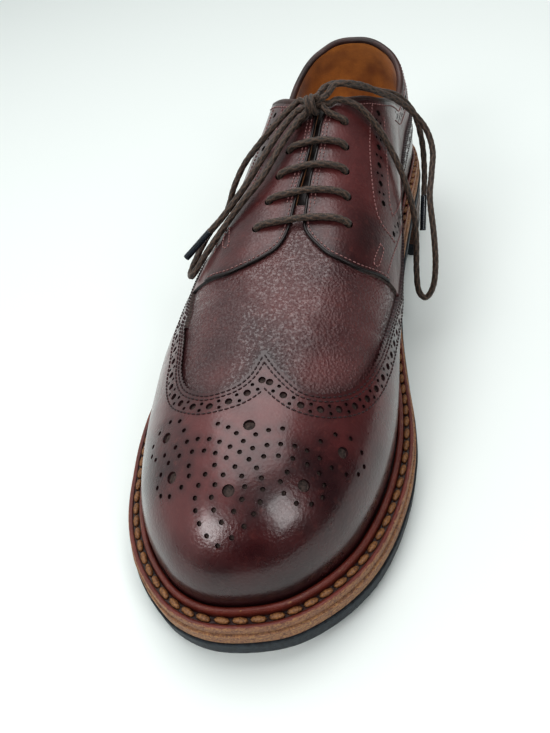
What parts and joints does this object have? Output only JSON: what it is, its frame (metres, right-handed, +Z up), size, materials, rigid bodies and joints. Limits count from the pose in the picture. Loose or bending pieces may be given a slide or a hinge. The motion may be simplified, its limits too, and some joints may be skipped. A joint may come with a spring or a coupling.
{
  "type": "wingtip derby shoe",
  "caption": "Right longwing derby shoe in burgundy leather with open lacing tied in a bow, storm welt, leather midsole, rubber outsole and stacked heel",
  "frame": {"origin": "on the floor under the middle of the heel, in the flat face of the heel's top piece", "axes": "+Z up, toe towards -Y, heel towards +Y, the shoe's medial (inner) side towards +X"},
  "size_m": [0.1185, 0.3086, 0.1144],
  "materials": {
    "outsole_rubber": "matte moulded rubber",
    "midsole_leather": "worn, trimmed edge",
    "welt_leather": "waxed, tan at the worn edge",
    "heel_leather": "trimmed, inked edge",
    "heel_rubber": "matte moulded rubber",
    "lining_leather": "napped",
    "upper_leather": "polished, finely grained",
    "tongue_leather": "satin",
    "lace_cotton": "waxed round braid",
    "aglet_plastic": "gloss"
  },
  "bodies": {
    "root": {"outsole": "outsole_rubber", "midsole": "midsole_leather", "welt": "welt_leather", "heel_lifts": "heel_leather", "heel_top_piece": "heel_rubber", "insole": "lining_leather", "upper": "upper_leather", "tongue": "tongue_leather", "lace_bar_1": "lace_cotton", "lace_bar_2": "lace_cotton", "lace_bar_3": "lace_cotton", "lace_bar_4": "lace_cotton", "lace_knot": "lace_cotton", "lace_loop_lateral": "lace_cotton", "lace_loop_medial": "lace_cotton", "lace_end_lateral": "lace_cotton", "lace_end_medial": "lace_cotton", "aglet_lateral": "aglet_plastic", "aglet_medial": "aglet_plastic"}
  },
  "joints": []
}
